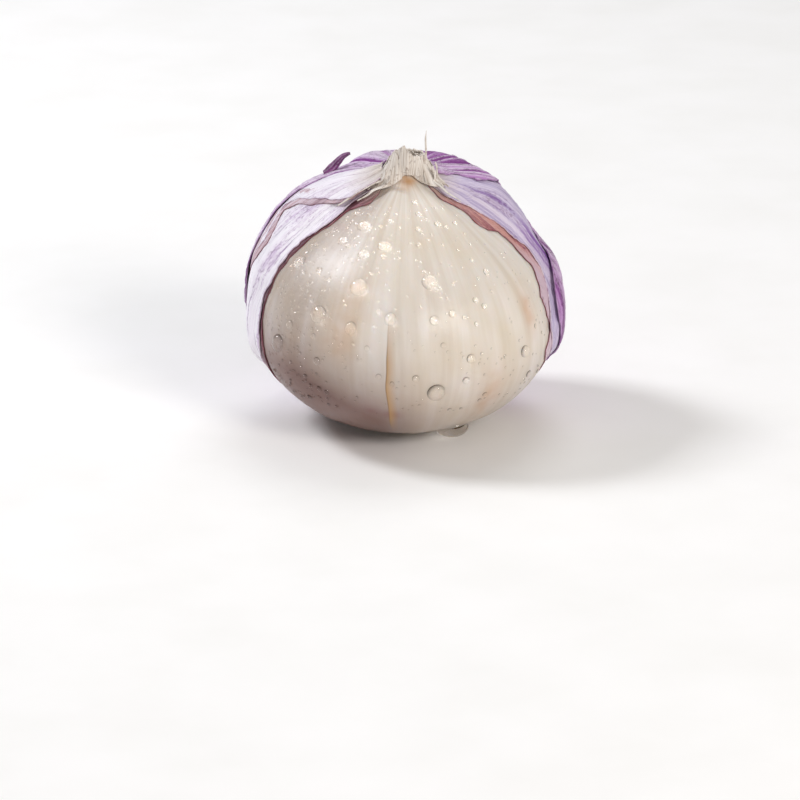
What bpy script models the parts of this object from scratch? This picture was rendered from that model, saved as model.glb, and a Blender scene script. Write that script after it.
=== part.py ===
"""Solo garlic bulb: one round clove in its papery skins, torn open at the front.

The bulb stands on its root plate. The origin is the centre of the plate's flat underside, +Z is up the neck
and -Y is the front, where the skins are torn away. Lengths below are millimetres and angles are degrees; an
azimuth of 0 is the front and +90 is the bulb's +X side. Every skin follows the clove at its own stand-off.
"""

import math

import bmesh
import bpy
from mathutils import Vector, geometry

MM = 0.001
WELD = 0.00001

# The clove, from its foot to its pointed tip, as (radius, height).
CLOVE_RADIUS = 19.1
CLOVE_WAIST_Z = 12.75
CLOVE_LOW_Z = 1.35
CLOVE_TIP_Z = 34.15
SHOULDER = (9.4, 28.25)
FOOT_RING = 8.0
SEAT_RADIUS = 5.6
SEAT_Z = 2.25
LOBE_HEIGHT = 0.10
LOBES = 5
AROUND = 48

# The root plate, a low tapered disc that sits in the clove's seat.
PLATE_FOOT_RADIUS = 4.1
PLATE_TOP_RADIUS = 4.9
PLATE_THICKNESS = 1.9

# The skins: one wall thickness, and the clear gap that each keeps to the next.
SKIN = 0.25
GAP = 0.30
LAYER = SKIN + GAP

# The loose skins puff out over the clove's shoulder: how far, round from which azimuths, over which shares
# of the way up the clove, what is left of it at the neck, how fast it grows, and how much more the outer
# skin has.
PUFF = 4.3
PUFF_LEFT = -76.0
PUFF_RIGHT = 79.0
PUFF_FROM = 0.33
PUFF_PEAK = 0.74
PUFF_ENDS = 0.93
PUFF_NECK = 0.18
PUFF_RAMP = 38.0
OUTER_PUFF = 1.04

# Where the puffed shoulder has settled again, as (azimuth, half-width, share of the puff lost).
DENTS = ((-122.0, 45.0, 0.45), (106.0, 60.0, 0.48))

# Beside the neck each shoulder dips and then rises to a low crest: how far up the clove the dip is and the
# share of the puff that it takes, then how far up the crest is, half its length and how far it stands up.
LEFT_SHOULDER = (0.55, 0.16, 0.67, 0.07, 0.7)
RIGHT_SHOULDER = (0.565, 0.60, 0.73, 0.07, 0.75)

# The outer skin makes room for the second skin at the left, and the loose skins stand wider at both sides.
LEFT_SLACK_FROM = -60.0
LEFT_SLACK_TO = -170.0
LEFT_SWELL = 0.3
RIGHT_SLACK = 0.25

# How far up the clove each skin reaches, as shares of the clove's outline from its foot to its tip.
CLOVE_SKIN_REACH = (0.06, 0.88)
MIDDLE_SKIN_REACH = (0.075, 0.90)
OUTER_SKIN_REACH = (0.14, 0.915)
SECOND_SKIN_REACH = (0.46, 0.88)

# The dried neck above the clove, as (radius, height) from its foot to its torn top.
NECK_FOOT = (3.80, 32.55)
NECK_WAIST = (3.00, 34.60)
NECK_TOP = (2.45, 36.40)
NECK_WALL = 0.50
NECK_ARCH = 1.20
NECK_LEAN = 0.40
NECK_AROUND = 24

# Where each skin's torn edges run: (share of the way up the clove, left azimuth, right azimuth).
CLOVE_SKIN_EDGE = ((0.06, -106, 108), (0.15, -96, 100), (0.22, -78, 86), (0.30, -72, 74), (0.43, -74, 74),
                   (0.60, -76, 81), (0.72, -73, 74), (0.80, -68, 69), (0.88, -51, 59))
MIDDLE_SKIN_EDGE = ((0.07, -114, 116), (0.16, -102, 107), (0.25, -88, 93), (0.33, -78, 81), (0.43, -77, 77),
                    (0.52, -77, 86), (0.60, -79, 89), (0.70, -76, 87), (0.78, -71, 82), (0.90, -70, 70))
OUTER_SKIN_EDGE = ((0.14, -120, 119), (0.24, -110, 103), (0.34, -101, 88), (0.43, -99, 84), (0.50, -100, 92),
                   (0.64, -104, 122), (0.75, -118, 113), (0.84, -126, 110), (0.91, -122, 104))
SECOND_SKIN_EDGE = ((0.46, -99, -128), (0.60, -98, -134), (0.66, -107, -136), (0.72, -100, -137),
                    (0.79, -87, -136), (0.87, -69, -128))


def smooth(value):
    """Ease from 0 to 1 as the value goes from 0 to 1."""
    held = min(max(value, 0.0), 1.0)
    return held * held * (3.0 - 2.0 * held)


def curve(start, lead, follow, end, count):
    """Points of one Bezier stretch of a turned outline."""
    knots = [Vector((r, z, 0.0)) for r, z in (start, lead, follow, end)]
    return [(p.x, p.y) for p in geometry.interpolate_bezier(*knots, count)]


def clove_outline():
    """Radius and height from the edge of the seat, round the waist, to the tip."""
    low = curve((FOOT_RING, CLOVE_LOW_Z), (11.6, CLOVE_LOW_Z), (CLOVE_RADIUS, 6.7),
                (CLOVE_RADIUS, CLOVE_WAIST_Z), 12)
    high = curve((CLOVE_RADIUS, CLOVE_WAIST_Z), (CLOVE_RADIUS, 21.35), (14.0, 24.65), SHOULDER, 12)
    tip = curve(SHOULDER, (6.2, 30.75), (3.2, 31.95), (0.35, CLOVE_TIP_Z), 8)
    return low + high[1:] + tip[1:]


OUTLINE = clove_outline()


def outline_lengths():
    """How far along the outline each of its points lies."""
    total = [0.0]
    for (r0, z0), (r1, z1) in zip(OUTLINE, OUTLINE[1:]):
        total.append(total[-1] + math.hypot(r1 - r0, z1 - z0))
    return total


LENGTHS = outline_lengths()


def outline_point(share):
    """Radius, height and outward slope at a share of the way up the clove."""
    target = share * LENGTHS[-1]
    step = max(i for i, length in enumerate(LENGTHS[:-1]) if length <= target)
    part = (target - LENGTHS[step]) / (LENGTHS[step + 1] - LENGTHS[step])
    (r0, z0), (r1, z1) = OUTLINE[step], OUTLINE[step + 1]
    before = OUTLINE[max(step - 1, 0)]
    after = OUTLINE[min(step + 2, len(OUTLINE) - 1)]
    start = Vector((z1 - before[1], before[0] - r1)).normalized()
    end = Vector((after[1] - z0, r0 - after[0])).normalized()
    outward = start.lerp(end, part).normalized()
    return r0 + (r1 - r0) * part, z0 + (z1 - z0) * part, outward


def lobed(radius, azimuth):
    """The clove isn't quite round: a few faint lobes stand out of it."""
    return radius + LOBE_HEIGHT * math.cos(LOBES * math.radians(azimuth + 8.0)) * radius / CLOVE_RADIUS


def place(radius, azimuth, height):
    """A point in metres from a radius, an azimuth and a height."""
    turn = math.radians(azimuth)
    wide = lobed(radius, azimuth)
    return Vector((wide * math.sin(turn), -wide * math.cos(turn), height)) * MM


def edge_at(edge, share):
    """Left and right azimuths of a torn edge at a share of the way up."""
    if share <= edge[0][0]:
        return edge[0][1:]
    for (s0, left0, right0), (s1, left1, right1) in zip(edge, edge[1:]):
        if share <= s1:
            part = smooth((share - s0) / (s1 - s0)) * 0.5 + (share - s0) / (s1 - s0) * 0.5
            return left0 + (left1 - left0) * part, right0 + (right1 - right0) * part
    return edge[-1][1:]


def sunk(azimuth):
    """How far the shoulder has settled, as a share of its puff, round the two dents."""
    total = 0.0
    for at, half, deep in DENTS:
        apart = abs((azimuth - at + 180.0) % 360.0 - 180.0)
        total += deep * smooth(1.6 - 1.6 * apart / half)
    return total


def puff(share, azimuth):
    """How far the loose skins stand off at the shoulder: none at the front, most at the back."""
    inside = PUFF_LEFT - azimuth if azimuth < 0 else azimuth - PUFF_RIGHT
    if share < PUFF_PEAK:
        rise = smooth((share - PUFF_FROM) / (PUFF_PEAK - PUFF_FROM))
    else:
        rise = 1.0 - (1.0 - PUFF_NECK) * smooth((share - PUFF_PEAK) / (PUFF_ENDS - PUFF_PEAK))
    settled = sunk(azimuth) * smooth((share - 0.50) / 0.20)
    loose = PUFF * rise * smooth(inside / PUFF_RAMP) * (1.0 - settled)
    beside = smooth((abs(azimuth) - 82.0) / 24.0) * smooth((170.0 - abs(azimuth)) / 35.0)
    dip_share, lost, crest_share, half, crest = LEFT_SHOULDER if azimuth < 0 else RIGHT_SHOULDER
    dip = lost * math.exp(-((share - dip_share) / 0.06) ** 2)
    crest *= math.exp(-((share - crest_share) / half) ** 2)
    return loose * (1.0 - dip * beside) + crest * beside


def material(name, colour, roughness):
    """A plain Principled material with its colour as linear RGB."""
    made = bpy.data.materials.new(name)
    made.use_nodes = True
    shader = made.node_tree.nodes["Principled BSDF"]
    shader.inputs["Base Color"].default_value = (*colour, 1.0)
    shader.inputs["Roughness"].default_value = roughness
    shader.inputs["Metallic"].default_value = 0.0
    return made


def add_object(name, shape, made):
    """One named object from a bmesh, shaded smooth, with its own material."""
    mesh = bpy.data.meshes.new(name)
    shape.to_mesh(mesh)
    shape.free()
    mesh.shade_smooth()
    mesh.materials.append(made)
    obj = bpy.data.objects.new(name, mesh)
    bpy.context.scene.collection.objects.link(obj)
    return obj


def turned(outline, steps):
    """A closed body spun round the Z axis from an outline that starts and ends on it."""
    shape = bmesh.new()
    points = [shape.verts.new(Vector((0.0, -r, z)) * MM) for r, z in outline]
    edges = [shape.edges.new(pair) for pair in zip(points, points[1:])]
    bmesh.ops.spin(shape, geom=points + edges, cent=(0, 0, 0), axis=(0, 0, 1), angle=2 * math.pi,
                   steps=steps, use_merge=True)
    bmesh.ops.remove_doubles(shape, verts=shape.verts, dist=WELD)
    bmesh.ops.recalc_face_normals(shape, faces=shape.faces)
    return shape


def build_clove():
    """The single clove, with a shallow seat in its foot for the root plate."""
    seat = [(0.0, SEAT_Z), (SEAT_RADIUS, SEAT_Z), (FOOT_RING - 1.0, CLOVE_LOW_Z + 0.12)]
    body = turned(seat + OUTLINE + [(0.0, CLOVE_TIP_Z + 0.2)], AROUND)
    for vert in body.verts:
        radius = math.hypot(vert.co.x, vert.co.y) / MM
        azimuth = math.degrees(math.atan2(vert.co.x, -vert.co.y))
        vert.co = place(radius, azimuth, vert.co.z / MM)
    return add_object("clove", body, material("ivory_clove", (0.76, 0.69, 0.56), 0.32))


def build_root_plate():
    """The corky plate that the roots grew from, flat underneath where the bulb stands on it."""
    bevel = 0.25
    outline = [(0.0, 0.0), (PLATE_FOOT_RADIUS - bevel, 0.0), (PLATE_FOOT_RADIUS, bevel),
               (PLATE_TOP_RADIUS, PLATE_THICKNESS - bevel), (PLATE_TOP_RADIUS - bevel, PLATE_THICKNESS),
               (0.0, PLATE_THICKNESS)]
    return add_object("root_plate", turned(outline, 32), material("corky_plate", (0.42, 0.31, 0.19), 0.9))


def skin_sheet(columns, rows, where):
    """A flat grid laid where a function of its two shares says, ready to be thickened."""
    shape = bmesh.new()
    bmesh.ops.create_grid(shape, x_segments=columns, y_segments=rows, size=0.5)
    for vert in shape.verts:
        vert.co = where(vert.co.x + 0.5, vert.co.y + 0.5)
    return shape


def thicken(obj, wall):
    """Give a sheet its wall, outwards from the surface that it was laid on."""
    solidify = obj.modifiers.new("wall", "SOLIDIFY")
    solidify.thickness = wall * MM
    solidify.offset = 1.0
    solidify.use_even_offset = True


def wrap(name, edge, reach, stand_off, columns, rows, made):
    """A skin round the back of the clove, from one torn edge of the window to the other."""
    low, high = reach

    def where(across, up):
        ripple = 0.012 * math.sin(across * 37.0) + 0.006 * math.sin(across * 83.0)
        share = low + (high - low) * up + ripple * (1.0 - smooth(up / 0.15))
        left, right = edge_at(edge, share)
        ragged = 1.2 * math.sin(share * 55.0) + 0.7 * math.sin(share * 131.0 + 1.0)
        turn = (right + ragged) + (360.0 + left + ragged - right - ragged) * across
        azimuth = turn if turn <= 180.0 else turn - 360.0
        radius, height, outward = outline_point(share)
        off = stand_off(share, azimuth)
        return place(radius + outward.x * off, azimuth, height + outward.y * off)

    obj = add_object(name, skin_sheet(columns, rows, where), made)
    thicken(obj, SKIN)
    return obj


def left_slack(azimuth):
    """1 where the second skin lies under the outer skin at the left, 0 elsewhere."""
    if azimuth > 0:
        return 0.0
    return smooth((azimuth - LEFT_SLACK_TO) / 20.0) * smooth((LEFT_SLACK_FROM - azimuth) / 10.0)


def side_slack(share, azimuth):
    """The loose skins stand a little wider at the right and round the left of the waist than at the back."""
    if azimuth > 0:
        return RIGHT_SLACK * smooth((azimuth - 75.0) / 22.0) * smooth((175.0 - azimuth) / 40.0)
    round_left = smooth((-78.0 - azimuth) / 14.0) * smooth((azimuth + 150.0) / 35.0)
    return LEFT_SWELL * round_left * smooth((share - 0.16) / 0.16) * smooth((0.66 - share) / 0.18)


def build_clove_skin():
    """The tight reddish skin that hugs the clove."""

    def off(share, azimuth):
        return GAP

    return wrap("clove_skin", CLOVE_SKIN_EDGE, CLOVE_SKIN_REACH, off, 38, 14,
                material("clove_skin_paper", (0.45, 0.16, 0.15), 0.6))


def build_middle_skin():
    """The pale veined skin over it, loose at the shoulder."""

    def off(share, azimuth):
        return GAP + LAYER + side_slack(share, azimuth) + puff(share, azimuth)

    return wrap("middle_skin", MIDDLE_SKIN_EDGE, MIDDLE_SKIN_REACH, off, 36, 20,
                material("middle_skin_paper", (0.72, 0.64, 0.80), 0.55))


def build_outer_skin():
    """The purple striped skin, torn back to the sides and standing up in a dome behind the neck."""

    def off(share, azimuth):
        slack = LAYER * left_slack(azimuth) + side_slack(share, azimuth)
        return GAP + LAYER * 2.0 + slack + puff(share, azimuth) * OUTER_PUFF

    return wrap("outer_skin", OUTER_SKIN_EDGE, OUTER_SKIN_REACH, off, 34, 20,
                material("outer_skin_paper", (0.40, 0.14, 0.38), 0.5))


def build_second_skin():
    """A strip of white skin left between the middle and outer skins at the left shoulder."""

    def where(across, up):
        share = SECOND_SKIN_REACH[0] + (SECOND_SKIN_REACH[1] - SECOND_SKIN_REACH[0]) * up
        front, back = edge_at(SECOND_SKIN_EDGE, share)
        azimuth = back + (front - back) * across + 1.5 * math.sin(share * 48.0) * across
        radius, height, outward = outline_point(share)
        off = GAP + LAYER * 2.0 + side_slack(share, azimuth) + puff(share, azimuth)
        return place(radius + outward.x * off, azimuth, height + outward.y * off)

    obj = add_object("second_skin", skin_sheet(10, 10, where),
                     material("second_skin_paper", (0.82, 0.76, 0.82), 0.6))
    thicken(obj, SKIN)
    return obj


def neck_torn_top(azimuth):
    """Height of the neck's torn top: a peak at the left, a low notch and one long stray fibre."""
    peak = 1.5 * math.exp(-((azimuth + 12.0) / 40.0) ** 2)
    fibre = 3.2 * math.exp(-((azimuth - 75.0) / 7.0) ** 2)
    return NECK_TOP[1] + peak + fibre + 0.25 * math.sin(math.radians(azimuth * 7.0))


def build_neck():
    """The dried papery stub of the stalk, open in a low arch at the front over the clove's tip."""

    def where(across, up):
        azimuth = -180.0 + 360.0 * across
        foot = NECK_FOOT[1] + NECK_ARCH * smooth((60.0 - abs(azimuth)) / 45.0)
        height = foot + (neck_torn_top(azimuth) - foot) * up
        if height < NECK_WAIST[1]:
            part = (height - NECK_FOOT[1]) / (NECK_WAIST[1] - NECK_FOOT[1])
            radius = NECK_FOOT[0] + (NECK_WAIST[0] - NECK_FOOT[0]) * part
        else:
            part = (height - NECK_WAIST[1]) / (NECK_TOP[1] - NECK_WAIST[1])
            radius = NECK_WAIST[0] + (NECK_TOP[0] - NECK_WAIST[0]) * min(part, 1.0)
        radius += 0.12 * math.cos(math.radians(azimuth * 6.0))
        return place(radius - NECK_WALL, azimuth, height) + Vector((NECK_LEAN * MM, 0.0, 0.0))

    tube = skin_sheet(NECK_AROUND, 6, where)
    bmesh.ops.remove_doubles(tube, verts=tube.verts, dist=WELD)
    obj = add_object("neck", tube, material("dried_neck_paper", (0.66, 0.58, 0.46), 0.8))
    thicken(obj, NECK_WALL)
    return obj


def clear_scene():
    for obj in list(bpy.data.objects):
        bpy.data.objects.remove(obj, do_unlink=True)


clear_scene()
build_clove()
build_root_plate()
build_clove_skin()
build_middle_skin()
build_second_skin()
build_outer_skin()
build_neck()
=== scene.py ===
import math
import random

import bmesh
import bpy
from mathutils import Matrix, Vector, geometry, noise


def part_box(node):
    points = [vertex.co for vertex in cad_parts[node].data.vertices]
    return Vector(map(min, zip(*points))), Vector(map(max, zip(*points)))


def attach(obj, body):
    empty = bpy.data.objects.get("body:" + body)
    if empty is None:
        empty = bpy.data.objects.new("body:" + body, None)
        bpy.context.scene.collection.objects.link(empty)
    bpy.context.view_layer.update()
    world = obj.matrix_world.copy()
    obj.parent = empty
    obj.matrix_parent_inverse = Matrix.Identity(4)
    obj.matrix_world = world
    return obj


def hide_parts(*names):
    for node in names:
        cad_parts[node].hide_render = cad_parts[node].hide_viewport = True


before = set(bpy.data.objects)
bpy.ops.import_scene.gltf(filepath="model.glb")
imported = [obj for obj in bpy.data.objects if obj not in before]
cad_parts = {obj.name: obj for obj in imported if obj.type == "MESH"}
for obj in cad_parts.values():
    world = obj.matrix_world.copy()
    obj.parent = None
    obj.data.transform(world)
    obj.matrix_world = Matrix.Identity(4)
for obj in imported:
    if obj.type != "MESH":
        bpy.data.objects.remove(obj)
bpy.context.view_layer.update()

# %% [markdown]
# # A solo garlic bulb, its skins torn open at the front
# A solo bulb grows one round clove instead of a ring of them. Dry papery skins wrap the clove and gather at
# the top into the neck, where the stalk was, and at the bottom round the root plate.
# Everything here follows one turned line, the clove's own outline, because that is how the real bulb grows:
# each skin is a copy of the clove's surface at its own small distance.

clove_low, clove_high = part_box("clove")
CLOVE_WIDE = 38.4
MM = round((clove_high.x - clove_low.x) / CLOVE_WIDE, 6)
random.seed(11)


# %% [markdown]
# ## The turned line
# The outline runs from the foot, round the waist, to the pointed tip. Three Bezier stretches give it, as they
# would for a turner's template. A place on the bulb is then a share of the way up the line and an azimuth,
# 0 degrees at the front and +90 at the bulb's own +X side. Below share 0 the line carries on under the foot,
# so that the skins can gather to the root plate.

# %% the outline and places on it
CLOVE_RADIUS = 19.1
CLOVE_LOW_Z = 1.35
TIP_Z = 34.15
SHOULDER = (9.4, 28.25)
FOOT_RING = 8.0


def stretch(start, lead, follow, end, count):
    """Points of one Bezier stretch of the outline."""
    knots = [Vector((r, z, 0.0)) for r, z in (start, lead, follow, end)]
    return [(p.x, p.y) for p in geometry.interpolate_bezier(*knots, count)]


WAIST = (CLOVE_RADIUS, 12.75)
OUTLINE = stretch((FOOT_RING, CLOVE_LOW_Z), (11.6, CLOVE_LOW_Z), (CLOVE_RADIUS, 6.7), WAIST, 50)
OUTLINE += stretch(WAIST, (CLOVE_RADIUS, 21.35), (14.0, 24.65), SHOULDER, 50)[1:]
OUTLINE += stretch(SHOULDER, (6.2, 30.75), (3.2, 31.95), (0.35, TIP_Z), 34)[1:]
LENGTHS = [0.0]
for (r0, z0), (r1, z1) in zip(OUTLINE, OUTLINE[1:]):
    LENGTHS.append(LENGTHS[-1] + math.hypot(r1 - r0, z1 - z0))
LINE_LENGTH = LENGTHS[-1]
print("the outline is", round(LINE_LENGTH, 1), "mm long")


def smooth(value):
    """Ease from 0 to 1 as the value goes from 0 to 1."""
    held = min(max(value, 0.0), 1.0)
    return held * held * (3.0 - 2.0 * held)


def on_line(share):
    """Radius, height and outward slope at a share of the way up the clove."""
    if share < 0.0:
        return FOOT_RING + share * LINE_LENGTH, CLOVE_LOW_Z + 0.1 * smooth(-share * 18.0), Vector((0.0, -1.0))
    target = min(share, 0.9999) * LINE_LENGTH
    low, high = 0, len(LENGTHS) - 1
    while high - low > 1:
        middle = (low + high) // 2
        low, high = (middle, high) if LENGTHS[middle] <= target else (low, middle)
    part = (target - LENGTHS[low]) / (LENGTHS[high] - LENGTHS[low])
    (r0, z0), (r1, z1) = OUTLINE[low], OUTLINE[high]
    before = OUTLINE[max(low - 2, 0)]
    after = OUTLINE[min(high + 2, len(OUTLINE) - 1)]
    outward = Vector((after[1] - before[1], before[0] - after[0])).normalized()
    return r0 + (r1 - r0) * part, z0 + (z1 - z0) * part, outward


def lobed(radius, azimuth):
    """The bulb isn't quite round: five faint lobes stand out of it."""
    return radius + 0.10 * math.cos(5.0 * math.radians(azimuth + 8.0)) * radius / CLOVE_RADIUS


def place(radius, azimuth, height):
    """A point in millimetres from a radius, an azimuth and a height."""
    turn = math.radians(azimuth)
    wide = lobed(radius, azimuth)
    return Vector((wide * math.sin(turn), -wide * math.cos(turn), height))


def over_clove(azimuth, share, off):
    """A point in millimetres at a stand-off from the clove's turned line."""
    radius, height, outward = on_line(share)
    return place(radius + outward.x * off, azimuth, height + outward.y * off)


def degree_mm(share):
    """Length of one degree round the bulb, in millimetres."""
    return max(on_line(share)[0], 1.0) * math.radians(1.0)


def along(knots, share):
    """The value at a share of the way up, eased between (share, value) knots."""
    if share <= knots[0][0]:
        return knots[0][1]
    for (s0, v0), (s1, v1) in zip(knots, knots[1:]):
        if share <= s1:
            part = (share - s0) / (s1 - s0)
            return v0 + (v1 - v0) * (0.5 * part + 0.5 * smooth(part))
    return knots[-1][1]


# %% [markdown]
# ## Making an object from a bmesh
# Each piece is one mesh at the origin, shaded smooth, that rides on the bulb's only body. Its materials follow
# in the order that its faces use them. A thin leaf also gets a Solidify modifier for its real thickness: with
# three materials, the second goes on its inner face and the third on its torn rim.

# %% a finished object from a bmesh
def stood(name, data):
    """A new object in the scene for a mesh, a lamp or a camera."""
    made = bpy.data.objects.new(name, data)
    bpy.context.scene.collection.objects.link(made)
    return made


def finished(name, shape, finishes, wall=0.0, offset=0.0):
    """One object in metres from a bmesh drawn in millimetres, with a wall if it is a leaf."""
    bmesh.ops.scale(shape, vec=(MM, MM, MM), verts=shape.verts)
    mesh = bpy.data.meshes.new(name)
    shape.to_mesh(mesh)
    shape.free()
    mesh.shade_smooth()
    for finish in finishes:
        mesh.materials.append(finish)
    made = stood(name, mesh)
    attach(made, "root")
    if wall:
        leaf = made.modifiers.new("leaf", "SOLIDIFY")
        leaf.thickness = wall * MM
        leaf.offset = offset
        if len(finishes) == 3:
            leaf.material_offset = 1
            leaf.material_offset_rim = 2
    print(name, len(mesh.vertices), "points")
    return made


def turned(outline, steps):
    """A closed shape from a (radius, height) outline spun about Z."""
    shape = bmesh.new()
    points = [shape.verts.new((0.0, -r, z)) for r, z in outline]
    edges = [shape.edges.new(pair) for pair in zip(points, points[1:])]
    bmesh.ops.spin(shape, geom=points + edges, cent=(0, 0, 0), axis=(0, 0, 1), angle=2 * math.pi, steps=steps,
                   use_merge=True)
    bmesh.ops.remove_doubles(shape, verts=shape.verts, dist=0.002)
    bmesh.ops.recalc_face_normals(shape, faces=shape.faces)
    return shape


# %% [markdown]
# ## Materials: one helper
# A node, its settings and its links are added by one small function. Colours are written as sRGB hex, as a
# paint chart gives them, and turned to the linear values that the renderer works in. Two more functions lay
# down what every material here shares: coordinates along the meridians, and noise stretched to a real size.

# %% colour and node helpers
def paint(code):
    """Linear RGBA from an sRGB hex colour, or a grey from a number."""
    if not isinstance(code, str):
        return (code, code, code, 1.0)
    parts = [int(code[i:i + 2], 16) / 255.0 for i in (1, 3, 5)]
    return (*[p / 12.92 if p <= 0.04045 else ((p + 0.055) / 1.055) ** 2.4 for p in parts], 1.0)


def add(tree, kind, inputs=None, stops=(), **settings):
    """Add a node. An input is a number, a hex colour, a socket, or a node, whose first live output is taken."""
    made = tree.nodes.new("ShaderNode" + kind)
    for name, value in settings.items():
        setattr(made, name, value)
    for key, value in (inputs or {}).items():
        if isinstance(value, bpy.types.Node):
            value = next(socket for socket in value.outputs if socket.enabled)
        if isinstance(value, bpy.types.NodeSocket):
            tree.links.new(value, made.inputs[key])
        else:
            made.inputs[key].default_value = paint(value) if isinstance(value, str) else value
    for number, (position, colour) in enumerate(stops):
        ramp = made.color_ramp.elements
        stop = ramp[number] if number < 2 else ramp.new(position)
        stop.position = position
        stop.color = paint(colour)
    return made


def new_material(name):
    """An empty node material and its tree."""
    made = bpy.data.materials.new(name)
    made.use_nodes = True
    made.node_tree.nodes.clear()
    return made, made.node_tree


def surfaced(made, inputs):
    """The material with its Principled shader. What is the same all over is set on the shader's own socket."""
    shader = add(made.node_tree, "BsdfPrincipled", inputs)
    add(made.node_tree, "OutputMaterial", {"Surface": shader})
    print("material", made.name)
    return made


def meridians(tree, radius):
    """Object coordinates, their parts, the azimuth in radians, and millimetres round and up at a radius."""
    where = add(tree, "TexCoord").outputs["Object"]
    split = add(tree, "SeparateXYZ", {0: where})
    back = add(tree, "Math", {0: split.outputs[1], 1: -1.0}, operation="MULTIPLY")
    turn = add(tree, "Math", {0: split.outputs[0], 1: back}, operation="ARCTAN2")
    around = add(tree, "Math", {0: turn, 1: radius}, operation="MULTIPLY")
    up = add(tree, "Math", {0: split.outputs[2], 1: 1000.0}, operation="MULTIPLY")
    return where, split, turn, add(tree, "CombineXYZ", {0: around, 1: up})


def stretched(tree, at, wide, tall, **inputs):
    """Noise with marks of this width and height, on coordinates in millimetres."""
    laid = add(tree, "Mapping", {0: at, "Scale": (1 / wide, 1 / tall, 1.0)})
    return add(tree, "TexNoise", {"Vector": laid, "Scale": 1.0, **inputs})


def painted(tree, layer):
    """The value that a mesh carries on its points under this name."""
    return add(tree, "Attribute", attribute_name=layer, attribute_type="GEOMETRY").outputs["Fac"]


def coated(tree, colour, coats):
    """A colour under coats of (how much of it shows, colour), the first one lowest."""
    for share, coat in coats:
        colour = add(tree, "Mix", {0: share, 6: colour, 7: coat}, data_type="RGBA")
    return colour


# %% [markdown]
# ## Garlic flesh
# The clove's skinless flesh is dense, smooth and waxy: ivory, a little translucent, with faint streaks that
# run from foot to tip, and it is wet. So the shader has some subsurface scattering, a low roughness, and a
# thin clear coat for the film of water. Streaks are noise laid along the turned line: the azimuth comes from an
# arctangent of the object's own coordinates, so nothing slides. The crease is a thin dark line with an orange
# band on its right, and shows only below the waist.

# %% the flesh material
CREASE_TURN = -0.101
CREASE_BAND = (-0.098, -0.030)
CREASE_TOP = (0.0205, 0.0145)
CREASE_FOOT = (0.0030, 0.0060)


def flesh_material():
    """Ivory garlic flesh with meridian streaks, warm bruises, and the bruise tints and painted shade that the
    mesh carries.
    """
    made, tree = new_material("garlic_flesh")
    where, split, turn, laid = meridians(tree, 19.0)
    streaks = stretched(tree, laid, 2.4, 26.0, Detail=3.0, Distortion=0.3)
    fine = stretched(tree, laid, 0.5, 9.0, Detail=2.0)
    cloud = add(tree, "TexNoise", {"Vector": where, "Scale": 130.0, "Detail": 2.0})
    ivory = add(tree, "ValToRGB", {0: streaks}, stops=[(0.28, "#D6CABD"), (0.72, "#F0EAE6"), (0.50, "#E4DBD1")])
    warm = add(tree, "ValToRGB", {0: cloud}, stops=[(0.38, 0.0), (0.78, 0.45)])
    lines = add(tree, "ValToRGB", {0: fine}, stops=[(0.56, 0.0), (0.78, 0.10)])
    coats = [(warm, "#D3C2A4"), (lines, "#F1EBE2")]
    # orange and pink are bruise tints; the brown third one is painted shade, darker towards the foot and the
    # left
    for layer, colour in (("orange", "#C58A45"), ("pink", "#A8647A"), ("shade", "#7B5C54")):
        coats.append((painted(tree, layer), colour))
    # the crease sways a little, and fades at both ends
    sway = add(tree, "TexNoise", {"Vector": where, "Scale": 160.0, "Detail": 1.0})
    line = add(tree, "Math", {0: sway, 1: 0.05, 2: turn}, operation="MULTIPLY_ADD")
    band = add(tree, "MapRange", {0: line, 1: CREASE_BAND[0], 2: CREASE_BAND[1], 3: 0.85, 4: 0.0})
    side = add(tree, "Math", {0: line, 1: CREASE_TURN}, operation="GREATER_THAN")
    low = add(tree, "MapRange", {0: split.outputs[2], 1: CREASE_TOP[0], 2: CREASE_TOP[1]})
    foot = add(tree, "MapRange", {0: split.outputs[2], 1: CREASE_FOOT[0], 2: CREASE_FOOT[1]})
    reach = add(tree, "Math", {0: low, 1: foot}, operation="MULTIPLY")
    band = add(tree, "Math", {0: band, 1: side}, operation="MULTIPLY")
    band = add(tree, "Math", {0: band, 1: reach}, operation="MULTIPLY")
    off = add(tree, "Math", {0: line, 1: CREASE_TURN}, operation="SUBTRACT")
    near = add(tree, "Math", {0: off}, operation="ABSOLUTE")
    thin = add(tree, "MapRange", {0: near, 1: 0.002, 2: 0.007, 3: 0.60, 4: 0.0})
    thin = add(tree, "Math", {0: thin, 1: reach}, operation="MULTIPLY")
    coats += [(band, "#B98F58"), (thin, "#8A6338")]
    grain = add(tree, "TexNoise", {"Vector": where, "Scale": 900.0, "Detail": 2.0})
    height = add(tree, "Math", {0: fine, 1: 0.6, 2: grain}, operation="MULTIPLY_ADD")
    bump = add(tree, "Bump", {"Height": height, "Distance": 0.00004, "Strength": 0.6})
    gloss = add(tree, "MapRange", {0: cloud, 1: 0.3, 2: 0.7, 3: 0.36, 4: 0.48})
    return surfaced(made, {
        "Base Color": coated(tree, ivory, coats), "Roughness": gloss, "Normal": bump, "IOR": 1.42,
        "Subsurface Weight": 0.22, "Subsurface Radius": (1.0, 0.62, 0.36), "Subsurface Scale": 0.0022,
        "Coat Weight": 0.32, "Coat Roughness": 0.30, "Coat IOR": 1.33})


GARLIC_FLESH = flesh_material()
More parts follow.
